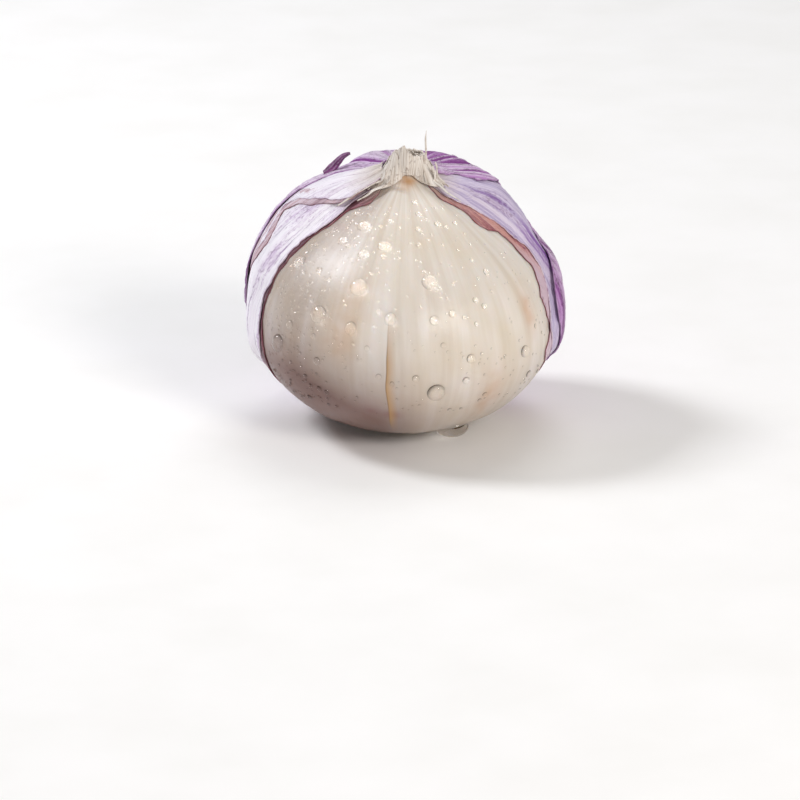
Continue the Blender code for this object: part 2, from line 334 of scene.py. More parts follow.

# %% [markdown]
# ## The clove
# One clove fills the bulb. It could be sculpted, but a spun outline is truer: the outline is turned round Z,
# then the points move a little to give the flat facets that the skins pressed into it, and the one shallow
# crease that runs down the front. Tints for the bruises are painted on the points as attributes, and so is
# painted shade that darkens the flesh towards the foot and the left. Each mark is
# (azimuth, share, half-width, half-length, strength).

# %% where the clove's own marks are
CREASE_AZIMUTH = -7.0
ORANGE_MARKS = ((59.0, 0.48, 4.0, 0.07, 0.55), (37.0, 0.25, 6.0, 0.10, 0.50), (-2.0, 0.968, 60.0, 0.018, 1.0),
                (6.0, 0.945, 22.0, 0.02, 0.45), (-25.0, 0.55, 9.0, 0.10, 0.25), (-27.0, 0.44, 8.0, 0.06, 0.35))
PINK_MARKS = ((-34.0, 0.264, 4.0, 0.022, 0.75), (-14.0, 0.235, 5.0, 0.020, 0.85),
              (-6.0, 0.222, 3.5, 0.018, 0.9), (-44.0, 0.24, 16.0, 0.05, 0.30), (-58.0, 0.76, 9.0, 0.015, 0.25))


def marked(marks, azimuth, share):
    """How strongly a set of soft oval marks shows here."""
    total = 0.0
    for at, up, half, tall, strength in marks:
        away = ((azimuth - at) / half) ** 2 + ((share - up) / tall) ** 2
        total += strength * math.exp(-away)
    return min(total, 1.0)


def clove_relief(azimuth, share):
    """Height of the clove's surface over its turned line, in millimetres."""
    facets = 0.16 * noise.noise(Vector((azimuth / 17.0, share * 1.6, 3.0)))
    streaky = 0.020 * noise.noise(Vector((azimuth / 4.2, share * 2.5, 9.0)))
    wander = azimuth - CREASE_AZIMUTH - 1.6 * noise.noise(Vector((share * 4.0, 1.0, 5.0)))
    run = smooth((share - 0.16) / 0.12) * smooth((0.86 - share) / 0.25)
    crease = -0.10 * math.exp(-(wander / 0.9) ** 2)
    crease += 0.10 * smooth((wander + 4.0) / 6.0) * smooth((30 - wander) / 26)
    ends = smooth((0.97 - share) / 0.1)
    return (facets + streaky) * ends + crease * run


def clove_point(azimuth, share):
    """A point of the clove's surface in millimetres."""
    return over_clove(azimuth, share, clove_relief(azimuth, share))


# %% turning the clove
CLOVE_ROWS = 128
CLOVE_SEAT = [(0.0, 2.25), (2.6, 2.25), (5.6, 2.25), (6.4, 1.75), (7.0, 1.47), (7.5, 1.38)]


def build_clove():
    """Spin the outline with its seat and tip, then move the points to the real surface."""
    line = [(row / CLOVE_ROWS) * 0.999 for row in range(CLOVE_ROWS + 1)]
    outline = CLOVE_SEAT + [on_line(share)[:2] for share in line] + [(0.0, TIP_Z + 0.2)]
    shares = {round(Vector((0.0, 0.0, on_line(share)[1])).z, 5): share for share in line}
    shape = turned(outline, 192)
    orange, pink, shade = [shape.verts.layers.float.new(layer) for layer in ("orange", "pink", "shade")]
    for vert in shape.verts:
        azimuth = math.degrees(math.atan2(vert.co.x, -vert.co.y))
        share = shares.get(round(vert.co.z, 5))
        if share is None or math.hypot(vert.co.x, vert.co.y) < 0.3:
            continue
        vert.co = clove_point(azimuth, share)
        blotch = 0.75 + 0.5 * noise.noise(vert.co * 0.9)
        vert[orange] = marked(ORANGE_MARKS, azimuth, share) * blotch
        vert[pink] = marked(PINK_MARKS, azimuth, share) * blotch
        # painted shade: the flesh darkens towards the foot and the left, partly its own pink-brown, mostly
        # shade painted in
        leftward = 0.25 + 0.75 * smooth((26.0 - azimuth) / 50.0)
        vert[shade] = 1.1 * smooth((0.50 - share) / 0.34) * leftward
        vert[shade] += 0.42 * smooth((-azimuth - 16.0) / 34.0)
    return finished("clove_body", shape, [GARLIC_FLESH])


clove_body = build_clove()
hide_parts("clove")

# %% [markdown]
# ## Papery skin
# A garlic skin is a dried leaf base: parchment-thin, with raised veins that run from foot to neck, and
# purple pigment laid down between the veins in streaks and specks. Its pattern follows the leaf, so each skin
# carries a UV map: U is the azimuth and V the way up. A Mapping node turns them to millimetres, and every
# noise is stretched along the veins by the real width and length of that mark.

# %% the skin material
AROUND_MM = 125.7
UP_MM = 50.0


def skin_material(name, grounds, streaks, veins, depth, speck, rough, crown_from=0.84, kept=0.25, stain_and_shade=None):
    """Papery skin: grounds and streaks are (right, left) colours, veins a colour, depth the share of streaks.
    A stain is (azimuth, share, half-width, half-length, strength, colour). On the middle skin it is purple
    pigment darkened with painted shade."""
    made, tree = new_material(name)
    uv = add(tree, "UVMap", uv_map="skin")
    split = add(tree, "SeparateXYZ", {0: uv})
    mm = add(tree, "Mapping", {0: uv, "Scale": (AROUND_MM, UP_MM, 1.0)})
    sway = stretched(tree, mm, 1 / 0.12, 1 / 0.09, Detail=2.0)
    swayed = add(tree, "VectorMath", {0: mm, 1: sway.outputs[1]}, operation="ADD")
    broad = stretched(tree, swayed, 2.1, 24.0, Detail=3.0, Roughness=0.6)
    vein = stretched(tree, swayed, 0.75, 30.0, Detail=1.5)
    thread = stretched(tree, swayed, 0.32, 12.0, Detail=2.0)
    specks = stretched(tree, swayed, 0.30, 0.55, Detail=2.5, Roughness=0.65)
    crinkle = stretched(tree, swayed, 0.55, 1.6, Detail=4.0, Roughness=0.6)
    patch = stretched(tree, mm, 1 / 0.14, 1 / 0.10, Detail=3.0)
    side = add(tree, "MapRange", {0: split.outputs[0], 1: 0.59, 2: 0.69},
               interpolation_type="SMOOTHSTEP")
    ground = add(tree, "Mix", {0: side, 6: grounds[0], 7: grounds[1]}, data_type="RGBA")
    pigment = add(tree, "Mix", {0: side, 6: streaks[0], 7: streaks[1]}, data_type="RGBA")
    # pigment fades towards the neck and comes in streaks that the specks break up
    fade = add(tree, "MapRange", {0: split.outputs[1], 1: 0.95, 2: 0.72, 3: kept, 4: 1.0})
    mottled = add(tree, "Math", {0: specks, 1: 0.30, 2: broad}, operation="MULTIPLY_ADD")
    uneven = add(tree, "Math", {0: patch, 1: 0.35, 2: mottled}, operation="MULTIPLY_ADD")
    band = add(tree, "MapRange", {0: uneven, 1: 0.98 - depth * 0.30, 2: 1.06 - depth * 0.22})
    banded = add(tree, "Math", {0: band, 1: fade}, operation="MULTIPLY")
    # thin dark veins where a stretched noise crosses its middle value
    away = add(tree, "Math", {0: vein, 1: 0.5}, operation="SUBTRACT")
    near = add(tree, "Math", {0: away}, operation="ABSOLUTE")
    drawn = add(tree, "MapRange", {0: near, 1: 0.0, 2: 0.020, 3: 0.90, 4: 0.0})
    broken = add(tree, "MapRange", {0: thread, 1: 0.38, 2: 0.58})
    veined = add(tree, "Math", {0: drawn, 1: broken}, operation="MULTIPLY")
    coats = [(banded, pigment), (veined, veins)]
    # a stain of pigment; on the middle skin it also paints the shade where the outer skin's edge overhangs it
    if stain_and_shade:
        around, up, half, tall, strong, tint = stain_and_shade
        spot = add(tree, "VectorMath", {0: uv, 1: (around / 360.0, up, 0.0)}, operation="SUBTRACT")
        spot = add(tree, "Mapping", {0: spot, "Scale": (360.0 / half, 1.0 / tall, 1.0)})
        gone = add(tree, "VectorMath", {0: spot}, operation="LENGTH").outputs["Value"]
        gone = add(tree, "Math", {0: broad, 1: 0.9, 2: gone}, operation="MULTIPLY_ADD")
        spot = add(tree, "MapRange", {0: gone, 1: 0.9, 2: 1.35, 3: strong, 4: 0.0})
        coats.append((spot, tint))
    # raised ribs are dry and whitish, and the whitish colour also paints their highlight
    rib_whitening_and_highlight = add(tree, "Math", {0: painted(tree, "rib"), 1: 0.75}, operation="MULTIPLY")
    # dark specks, only inside the streaks
    dots = add(tree, "MapRange", {0: specks, 1: 0.54, 2: 0.62, 3: 0.0, 4: speck})
    dots = add(tree, "Math", {0: dots, 1: banded}, operation="MULTIPLY")
    # straw-coloured crown round the neck, and a little weathering
    crown = add(tree, "MapRange", {0: split.outputs[1], 1: crown_from, 2: 0.95, 3: 0.0, 4: 0.8})
    tan = add(tree, "MapRange", {0: patch, 1: 0.66, 2: 0.80, 3: 0.0, 4: 0.22})
    # and the torn margin is a little darker
    dried = add(tree, "MapRange", {0: painted(tree, "margin"), 1: 0.0, 2: 0.40, 3: 0.18, 4: 0.0})
    coats += [(rib_whitening_and_highlight, "#EFE4F2"), (dots, "#4A0F42"), (crown, "#D9CDBE"), (tan, "#B79B86"), (dried, veins)]
    relief = add(tree, "Math", {0: thread, 1: 0.8, 2: crinkle}, operation="MULTIPLY_ADD")
    bump = add(tree, "Bump", {"Height": relief, "Distance": 0.00012, "Strength": 0.8})
    dull = add(tree, "MapRange", {0: crinkle, 1: 0.3, 2: 0.7, 3: rough - 0.08, 4: rough + 0.12})
    return surfaced(made, {"Base Color": coated(tree, ground, coats), "Roughness": dull, "Normal": bump,
                           "Specular IOR Level": 0.3})


def lining_material(name, ground, flush):
    """The smooth inner face of a skin: paler, with the veins showing through as soft lines."""
    made, tree = new_material(name)
    uv = add(tree, "UVMap", uv_map="skin")
    at = add(tree, "Mapping", {0: uv, "Scale": (AROUND_MM / 0.8, UP_MM / 22.0, 1.0)})
    lines = add(tree, "TexNoise", {"Vector": at, "Scale": 1.0, "Detail": 3.0})
    shown = add(tree, "ValToRGB", {0: lines}, stops=[(0.38, flush), (0.62, ground)])
    bump = add(tree, "Bump", {"Height": lines, "Distance": 0.00008, "Strength": 0.6})
    return surfaced(made, {"Base Color": shown, "Normal": bump, "Roughness": 0.42})


OUTER_PAPER = skin_material(
    "outer_skin_paper", ("#BC86C4", "#F3ECF5"), ("#7B2382", "#D3B4D6"), "#5B1C58", 0.80, 0.60, 0.50, 0.93, 0.85)
# the middle skin's deep violet streak at the right is purple pigment with painted shade from the outer skin's
# edge
MIDDLE_PAPER = skin_material(
    "middle_skin_paper", ("#BBADCF", "#F7F3F9"), ("#8C6AA6", "#D2BED9"), "#6E4080", 0.36, 0.35, 0.46,
    stain_and_shade=(95.0, 0.57, 8.0, 0.13, 0.80, "#7A3B9C"))
WHITE_PAPER = skin_material(
    "second_skin_paper", ("#F5F1F7", "#F5F1F7"), ("#D6C3DA", "#DACADD"), "#82568F", 0.26, 0.30, 0.46)
RED_PAPER = skin_material(
    "clove_skin_paper", ("#D29C92", "#93505A"), ("#A45458", "#4A0F1A"), "#47101C", 0.62, 0.55, 0.44,
    stain_and_shade=(78.0, 0.42, 20.0, 0.27, 0.85, "#D3BCCB"))
STRIP_PAPER = skin_material(
    "lining_strip_paper", ("#C3A2A8", "#C3A2A8"), ("#A88894", "#A88894"), "#6C4455", 0.35, 0.30, 0.48)
CURL_PAPER = skin_material(
    "curled_strip_paper", ("#8A4F84", "#8A4F84"), ("#4E1E4A", "#4E1E4A"), "#4A1644", 0.75, 0.70, 0.48)
PALE_LINING = lining_material("pale_skin_lining", "#E9DDE8", "#C9A9C4")
ROSE_LINING = lining_material("rose_skin_lining", "#B27C8A", "#7E3550")
DRIED_MARGIN = lining_material("dried_skin_margin", "#A8707A", "#74323F")
PURPLE_MARGIN = lining_material("purple_skin_margin", "#C9A8CE", "#8D5C96")
PALE_MARGIN = lining_material("pale_skin_margin", "#EFE5EC", "#B897B8")

# %% [markdown]
# ## Laying a skin
# Each skin starts as a flat grid, as the real one is a flat leaf. Its columns run round the bulb from one torn
# edge to the other and its rows run up to the neck. A function says where each point goes: the clove's surface
# plus the skin's stand-off, its puff at the shoulder, its ribs and its torn, slightly lifted margin.
# A Solidify modifier then gives the leaf its real thickness, with its own finish inside and on the torn rim.

# %% how loose the skins are
PUFF = 4.3
LEFT_SHOULDER = (0.55, 0.16, 0.67, 0.07, 0.7)
RIGHT_SHOULDER = (0.565, 0.60, 0.73, 0.07, 0.75)
MIDDLE_LEFT = ((0.06, -118), (0.15, -108), (0.22, -92), (0.28, -82), (0.34, -75), (0.43, -77), (0.52, -77),
               (0.60, -79), (0.66, -79), (0.72, -74), (0.76, -71), (0.80, -70), (0.83, -74), (0.88, -72),
               (0.93, -67), (0.96, -62))
MIDDLE_RIGHT = ((0.06, 120), (0.18, 108), (0.26, 90), (0.33, 78), (0.40, 75), (0.45, 78), (0.50, 84),
                (0.54, 88), (0.60, 89), (0.68, 87), (0.75, 86), (0.80, 81), (0.84, 74), (0.88, 68),
                (0.92, 72), (0.96, 78))


def sunk(azimuth):
    """How far the shoulder has settled again round its two dents, as a share of its puff."""
    total = 0.0
    for at, half, deep in ((-122.0, 45.0, 0.45), (106.0, 60.0, 0.48)):
        apart = abs((azimuth - at + 180.0) % 360.0 - 180.0)
        total += deep * smooth(1.6 - 1.6 * apart / half)
    return total


def puff(share, azimuth):
    """How far the loose skins stand off at the shoulder: none at the window, most at the back."""
    inside = -azimuth - 76.0 if azimuth < 0 else azimuth - 79.0
    if share < 0.74:
        rise = smooth((share - 0.33) / 0.41)
    else:
        rise = 1.0 - 0.82 * smooth((share - 0.74) / 0.19)
    loose = PUFF * rise * smooth(inside / 38.0) * (1.0 - sunk(azimuth) * smooth((share - 0.50) / 0.20))
    beside = smooth((abs(azimuth) - 82.0) / 24.0) * smooth((170.0 - abs(azimuth)) / 35.0)
    dip_share, lost, crest_share, half, crest = LEFT_SHOULDER if azimuth < 0 else RIGHT_SHOULDER
    dip = lost * math.exp(-((share - dip_share) / 0.06) ** 2)
    crest *= math.exp(-((share - crest_share) / half) ** 2)
    return loose * (1.0 - dip * beside) + crest * beside


def wide_left(azimuth):
    """1 where the second skin lies under the outer one at the left."""
    return smooth((azimuth + 170.0) / 20.0) * smooth((-60.0 - azimuth) / 10.0) if azimuth < 0 else 0.0


def side_slack(share, azimuth):
    """The loose skins stand a little wider at the right and round the left of the waist than at the back."""
    if azimuth > 0:
        return 0.25 * smooth((azimuth - 75.0) / 22.0) * smooth((175.0 - azimuth) / 40.0)
    round_left = smooth((-78.0 - azimuth) / 14.0) * smooth((azimuth + 150.0) / 35.0)
    return 0.45 * round_left * smooth((share - 0.16) / 0.16) * smooth((0.66 - share) / 0.18)


def gathered(share):
    """The stand-offs close up under the foot, where every skin grows out of the root plate."""
    return 0.30 + 0.70 * smooth((share + 0.02) / 0.16)


# %% ribs, crinkles and torn edges
def ribs(azimuth, share, spacing, seed):
    """0 to 1: thin raised veins at uneven spacing, in degrees, that sway a little on their way up."""
    sway = 2.2 * noise.noise(Vector((azimuth / 30.0, share * 2.2, seed)))
    here = noise.noise(Vector(((azimuth + sway) / spacing, share * 0.9, seed + 7.0)))
    return max(0.0, 1.0 - abs(here) * 3.2) ** 1.5


def crinkle(azimuth, share, seed):
    """Small creases of dry paper, in millimetres."""
    coarse = noise.noise(Vector((azimuth / 9.0, share * 14.0, seed)))
    fine = noise.noise(Vector((azimuth / 3.0, share * 30.0, seed + 3.0)))
    return 0.055 * coarse + 0.025 * fine


def torn(share, seed):
    """How far a torn edge strays, in degrees."""
    big = noise.noise(Vector((share * 22.0, seed, 0.5)))
    small = noise.noise(Vector((share * 90.0, seed, 2.5)))
    return 1.7 * big + 0.9 * small


# %% a skin from a grid
def build_leaf(name, columns, rows, point_at, finishes, wall, offset):
    """A thin leaf. point_at(across, up) gives a point's place, UV, distance from the margin, and rib."""
    shape = bmesh.new()
    margin, rib = [shape.verts.layers.float.new(layer) for layer in ("margin", "rib")]
    flat = shape.loops.layers.uv.new("skin")
    bmesh.ops.create_grid(shape, x_segments=columns, y_segments=rows, size=0.5)
    spots = {}
    for vert in shape.verts:
        vert.co, spots[vert], vert[margin], vert[rib] = point_at(vert.co.x + 0.5, vert.co.y + 0.5)
    for face in shape.faces:
        for loop in face.loops:
            loop[flat].uv = spots[loop.vert]
    return finished(name, shape, finishes, wall, offset)


def lay_skin(name, columns, rows, where, wall, finishes):
    """A skin of the bulb. where(across, up) gives azimuth, share, stand-off, margin and rib of a point."""
    def point_at(across, up):
        azimuth, share, off, edge, ridge = where(across, up)
        return over_clove(azimuth, share, off), (azimuth % 360.0 / 360.0, share), edge, ridge

    return build_leaf(name, columns, rows, point_at, finishes, wall, 1.0)


def wrapped(left, right, reach, seed, off):
    """The where() of a skin that goes round the back from its right torn edge to its left one."""
    low, high = reach

    def where(across, up):
        share = low + (high - low) * up
        start = along(right, share) + torn(share, seed)
        end = 360.0 + along(left, share) + torn(share, seed + 20.0)
        turn = start + (end - start) * across
        azimuth = turn if turn <= 180.0 else turn - 360.0
        edge = min(turn - start, end - turn) * degree_mm(share)
        stand, ridge = off(share, azimuth, edge)
        return turn, share, stand, edge, ridge

    return where


# %% [markdown]
# ## The clove's own skin
# The innermost skin hugs the clove. It is reddish, and only a ragged strip of it shows round the window: dark
# at the left, salmon at the right.

# %% the clove skin
CLOVE_SKIN_LEFT = ((0.06, -108), (0.15, -96), (0.21, -80), (0.26, -74), (0.34, -72), (0.43, -75), (0.52, -75.5),
                   (0.60, -77), (0.68, -76), (0.76, -69.5), (0.81, -68), (0.835, -59), (0.86, -51), (0.90, -53),
                   (0.94, -66))
CLOVE_SKIN_RIGHT = ((0.06, 110), (0.17, 98), (0.25, 80), (0.34, 71), (0.39, 76), (0.44, 74), (0.49, 72),
                    (0.53, 77), (0.57, 82), (0.625, 79), (0.66, 82), (0.70, 81), (0.725, 71), (0.76, 68),
                    (0.80, 71), (0.84, 66), (0.88, 58), (0.92, 63), (0.94, 74))


def clove_skin_off(share, azimuth, edge):
    """Tight to the clove, with its margin lifted a little."""
    ridge = ribs(azimuth, share, 2.6, 31.0)
    off = 0.03 + 0.25 * smooth(edge / 6.0) * gathered(share) + 0.03 * ridge
    return off + 0.85 * puff(share, azimuth) + clove_relief(azimuth, share), ridge * 0.25


where = wrapped(CLOVE_SKIN_LEFT, CLOVE_SKIN_RIGHT, (-0.055, 0.94), 1.0, clove_skin_off)
clove_skin = lay_skin("clove_skin_leaf", 190, 120, where, 0.13, [RED_PAPER, ROSE_LINING, DRIED_MARGIN])
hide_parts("clove_skin")

# %% [markdown]
# ## The middle skin
# White at the left and lavender at the right, with fine purple veins. It is the skin that shows most from the
# front, so its ribs are closer and its pleats deepen towards the neck, where the paper is gathered.

# %% the middle skin
def pleats(azimuth, share, seed):
    """Gathers that deepen towards the neck, in millimetres."""
    deep = smooth((share - 0.74) / 0.18) * smooth((0.975 - share) / 0.05)
    return 0.30 * deep * noise.noise(Vector((azimuth / 8.0, share * 5.0, seed)))


def middle_off(share, azimuth, edge):
    """Over the clove skin, loose at the shoulder, with a lifted margin."""
    ridge = ribs(azimuth, share, 2.3, 12.0)
    free = smooth(edge / 3.5)
    stand = 0.25 + clove_relief(azimuth, share) * (1.0 - free) + 0.60 * gathered(share) * free
    stand += side_slack(share, azimuth) * free + puff(share, azimuth)
    loose = smooth(edge / 2.0)
    fold = (crinkle(azimuth, share, 4.0) + pleats(azimuth, share, 14.0)) * loose
    return stand + fold + 0.07 * ridge * loose + 0.03 * math.exp(-edge / 0.5), ridge


where = wrapped(MIDDLE_LEFT, MIDDLE_RIGHT, (-0.055, 0.955), 2.0, middle_off)
middle_skin = lay_skin("middle_skin_leaf", 300, 130, where, 0.15, [MIDDLE_PAPER, PALE_LINING, PALE_MARGIN])
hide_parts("middle_skin")

# %% [markdown]
# ## The second skin and its strip
# At the left shoulder a tongue of white skin is left between the middle and outer skins. Its wavy lower edge
# shows a pink-brown strip of the next layer under it.

# %% the second skin
SECOND_FRONT = ((0.44, -116), (0.49, -104), (0.54, -100), (0.58, -97), (0.62, -101), (0.65, -108), (0.70, -104),
                (0.75, -95), (0.78, -90), (0.80, -84), (0.82, -78), (0.84, -70), (0.88, -68), (0.95, -60))
SECOND_BACK = ((0.44, -128), (0.70, -138), (0.80, -136), (0.87, -128), (0.95, -112))


def second_spot(across, up, reach, ahead, stand, seed):
    """A point of the second skin or of the strip under it."""
    low, high = reach
    share = low + (high - low) * up
    front = along(SECOND_FRONT, share) + ahead * smooth((0.90 - share) / 0.10) + torn(share, seed) * 0.6
    back = along(SECOND_BACK, share)
    azimuth = back + (front - back) * across
    edge = (front - azimuth) * degree_mm(share)
    ridge = ribs(azimuth, share, 2.4, 17.0)
    fold = crinkle(azimuth, share, 8.0) + pleats(azimuth, share, 24.0) * 2.2
    off = stand + (1.40 - stand) * smooth(edge / 3.0) * smooth((1.40 - stand) / 0.1)
    off += side_slack(share, azimuth) + puff(share, azimuth)
    off += (fold + 0.06 * ridge) * smooth(edge / 1.5)
    return azimuth + 360.0, share, off, edge, ridge


def second_where(across, up):
    return second_spot(across, up, (0.44, 0.955), 0.0, 1.22, 6.0)


def strip_where(across, up):
    return second_spot(across, up, (0.45, 0.90), 4.5, 1.08, 7.0)


second_skin = lay_skin("second_skin_leaf", 70, 110, second_where, 0.13,
                       [WHITE_PAPER, PALE_LINING, PALE_MARGIN])
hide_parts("second_skin")
under_strip = lay_skin("second_skin_strip", 60, 100, strip_where, 0.08,
                       [STRIP_PAPER, ROSE_LINING, DRIED_MARGIN])

# %% [markdown]
# ## The outer skin
# The striped purple skin that the bulb is sold by. It has the widest ribs, it stands up in a dome behind the
# neck, and its torn edges stop short of the skins below it.

# %% the outer skin
OUTER_LEFT = ((0.06, -128), (0.16, -120), (0.24, -111), (0.33, -103), (0.43, -101), (0.52, -103), (0.60, -106),
              (0.68, -112), (0.75, -120), (0.80, -125), (0.84, -126), (0.90, -126), (0.955, -118))
OUTER_RIGHT = ((0.06, 126), (0.18, 114), (0.26, 98), (0.34, 86), (0.42, 81), (0.47, 83), (0.51, 89), (0.55, 99),
               (0.59, 110), (0.63, 122), (0.67, 127), (0.71, 122), (0.76, 112), (0.81, 108), (0.835, 110),
               (0.86, 115), (0.90, 104), (0.955, 90))


def outer_off(share, azimuth, edge):
    """The outermost layer, with the widest ribs."""
    ridge = ribs(azimuth, share, 5.2, 42.0)
    free = smooth(edge / 3.0)
    stand = (1.06 + 0.32 * free + (0.36 + 0.15 * free) * wide_left(azimuth)) * gathered(share)
    stand += side_slack(share, azimuth) + puff(share, azimuth) * 1.04
    loose = smooth(edge / 2.5)
    fold = (crinkle(azimuth, share, 5.0) + pleats(azimuth, share, 34.0)) * loose
    return stand + fold + 0.16 * ridge * smooth((share + 0.05) / 0.15), ridge


where = wrapped(OUTER_LEFT, OUTER_RIGHT, (-0.055, 0.955), 3.0, outer_off)
outer_skin = lay_skin("outer_skin_leaf", 320, 130, where, 0.17, [OUTER_PAPER, PALE_LINING, PURPLE_MARGIN])
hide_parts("outer_skin")

# %% [markdown]
# ## A curled strip of outer skin
# At the left shoulder a torn strip of the outer skin has dried and rolled up into a small horn. It is a leaf
# bent round a rising line, wide at its foot and closing to a point.

# %% the curled strip
CURL_LINE = (Vector((-10.6, 8.2, 31.2)), Vector((-8.9, 8.2, 31.7)), Vector((-8.7, 8.2, 33.6)),
             Vector((-7.15, 8.2, 33.85)))


def build_curl():
    """A leaf bent round a Bezier line, its width closing towards the tip."""
    steps = 36
    line = geometry.interpolate_bezier(*CURL_LINE, steps)

    def point_at(across, up):
        step = min(int(round(up * (steps - 1))), steps - 1)
        ahead = (line[min(step + 1, steps - 1)] - line[max(step - 1, 0)]).normalized()
        side = ahead.cross(Vector((0.0, 1.0, 0.0))).normalized()
        depth = side.cross(ahead).normalized()
        bend = math.radians(-150.0 + 210.0 * across + 14.0 * noise.noise(Vector((up * 5.0, 3.0, 1.0))))
        radius = 0.10 + 0.62 * smooth((up + 0.15) / 0.45) * (1.0 - up) ** 0.7
        spot = line[step] + (side * math.cos(bend) + depth * math.sin(bend)) * radius
        edge = min(across, 1.0 - across) * radius * 3.0
        ridge = 0.4 * max(0.0, math.sin(across * 30.0)) ** 2
        return spot, (0.56 + 0.02 * across, 0.55 + 0.2 * up), edge, ridge

    return build_leaf("skin_curl", 20, steps - 1, point_at, [CURL_PAPER, CURL_PAPER, PURPLE_MARGIN],
                      0.12, 0.0)


skin_curl = build_curl()

# %% [markdown]
# ## Neck paper
# The neck is the dried foot of the stalk: straw-coloured, fibrous, with brown specks where it has weathered.

# %% the neck material
def neck_material():
    """Dry fibrous straw with brown specks, its fibres along the stalk."""
    made, tree = new_material("dried_neck_straw")
    where, split, turn, laid = meridians(tree, 3.4)
    fibres = stretched(tree, laid, 0.22, 5.0, Detail=3.0, Roughness=0.6)
    spots = add(tree, "TexNoise", {"Vector": where, "Scale": 1900.0, "Detail": 2.5})
    straw = add(tree, "ValToRGB", {0: fibres}, stops=[(0.26, "#B7A89A"), (0.62, "#F2ECE5"), (0.44, "#D9CEC3")])
    brown = add(tree, "ValToRGB", {0: spots}, stops=[(0.57, 0.0), (0.69, 0.55)])
    colour = coated(tree, straw, [(brown, "#7A5C48")])
    bump = add(tree, "Bump", {"Height": fibres, "Distance": 0.00012, "Strength": 0.7})
    dull = add(tree, "MapRange", {0: fibres, 1: 0.3, 2: 0.7, 3: 0.62, 4: 0.88})
    return surfaced(made, {"Base Color": colour, "Normal": bump, "Roughness": dull, "Specular IOR Level": 0.25})


NECK_STRAW = neck_material()

# %% [markdown]
# ## The neck
# A ring of paper open in a low arch at the front over the clove's tip, with loose shards round it that
# overlap like the leaves they were. The shards' feet flare out over the skins, and their tops are torn.

# %% the neck's ring and shards
NECK_LEAN = 0.40


def neck_top(azimuth):
    """Height of the torn top: a peak at the left of the front and a low notch at the right."""
    peak = 1.25 * math.exp(-((azimuth + 26.0) / 34.0) ** 2)
    ragged = 0.35 * noise.noise(Vector((azimuth / 9.0, 2.0, 0.0)))
    ragged += 0.2 * noise.noise(Vector((azimuth / 3.0, 5.0, 0.0)))
    return 36.3 + peak + ragged


NECK_LINE = ((31.6, 5.6), (32.4, 4.5), (33.2, 3.75), (34.2, 3.1), (35.4, 2.5), (36.6, 2.05), (38.0, 1.8))
NECK_FRONT = ((33.0, 1.3), (34.0, 1.65), (35.4, 1.95), (36.6, 1.9), (38.0, 1.7))


def neck_radius(height, azimuth):
    """Outer radius of the neck: round at the sides and back, and pressed onto the clove's tip at the front."""
    front = smooth((72.0 - abs(azimuth)) / 52.0)
    return along(NECK_LINE, height) * (1.0 - front) + along(NECK_FRONT, height) * front


def neck_leaf(name, middle, half, foot, out, top_by, seed, wall):
    """One leaf of the neck: an open sheet of the given half-width in degrees, or a closed ring at 180."""
    shape = bmesh.new()
    ring = half >= 180.0
    bmesh.ops.create_grid(shape, x_segments=max(int(half * 2 / 3.0), 10), y_segments=34, size=0.5)
    for vert in shape.verts:
        across, up = vert.co.x * 2.0, vert.co.y + 0.5
        azimuth = middle + half * across
        round_by = (azimuth + 180.0) % 360.0 - 180.0
        low = foot + 1.35 * smooth((66.0 - abs(round_by)) / 50.0)
        high = neck_top(round_by) + top_by
        if not ring:
            high = low + (high - low) * (0.25 + 0.75 * (1.0 - abs(across) ** 2.2))
        height = low + (high - low) * up
        fibres = 0.12 * noise.noise(Vector((round_by / 9.0, height * 0.5, seed)))
        fibres += 0.05 * noise.noise(Vector((round_by / 3.0, height * 0.9, seed + 1.0)))
        drift = 0.22 * up * noise.noise(Vector((round_by / 25.0, 1.0, seed)))
        vert.co = place(neck_radius(height, round_by) + out + fibres + drift, azimuth, height)
        vert.co.x += NECK_LEAN
    if ring:
        bmesh.ops.remove_doubles(shape, verts=shape.verts, dist=0.001)
    return finished(name, shape, [NECK_STRAW], wall, -1.0)


neck_ring = neck_leaf("neck_ring", 0.0, 180.0, 32.4, -0.10, 0.0, 1.0, 0.25)
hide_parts("neck")
neck_core = neck_leaf("neck_core", 40.0, 180.0, 33.2, -0.60, -0.35, 2.0, 0.2)
SHARDS = ((-62.0, 34.0, 32.1, 0.12, 0.1), (-118.0, 44.0, 31.9, 0.16, -0.6), (168.0, 50.0, 31.8, 0.14, -0.3),
          (112.0, 40.0, 32.3, 0.16, -0.9), (70.0, 22.0, 32.6, 0.08, -0.2), (-18.0, 26.0, 32.9, 0.06, 0.35))
for number, (middle, half, foot, out, top_by) in enumerate(SHARDS):
    neck_leaf("neck_shard_%d" % (number + 1), middle, half, foot, out, top_by, 10.0 + number, 0.10)

# %% [markdown]
# ## Ribbons and a stray fibre
# Narrow ribbons of the neck's paper run down over the skins on both sides of the arch, and one long fibre of
# the stalk still stands up. A ribbon is a thin grid laid along a line on the bulb, twisting a little.

# %% ribbons down from the neck
RIBBONS = ((0.70, ((-50, 0.965, 0.8, 0.7), (-58, 0.945, 1.0, 1.0), (-66, 0.90, 1.25, 1.0),
                   (-70, 0.85, 1.2, 0.8), (-73, 0.80, 1.15, 0.15))),
           (0.50, ((-40, 0.955, 0.6, 0.6), (-48, 0.93, 0.7, 1.0), (-56, 0.89, 0.75, 0.9),
                   (-62, 0.845, 0.7, 0.1))),
           (0.50, ((58, 0.975, 0.7, 0.5), (64, 0.95, 1.0, 1.0), (66, 0.91, 1.1, 0.9), (64, 0.87, 1.1, 0.6),
                   (68, 0.83, 1.0, 0.1))),
           (0.55, ((76, 0.98, 0.7, 0.6), (80, 0.955, 1.0, 1.0), (80, 0.92, 1.2, 0.8), (78, 0.88, 1.3, 0.15))))


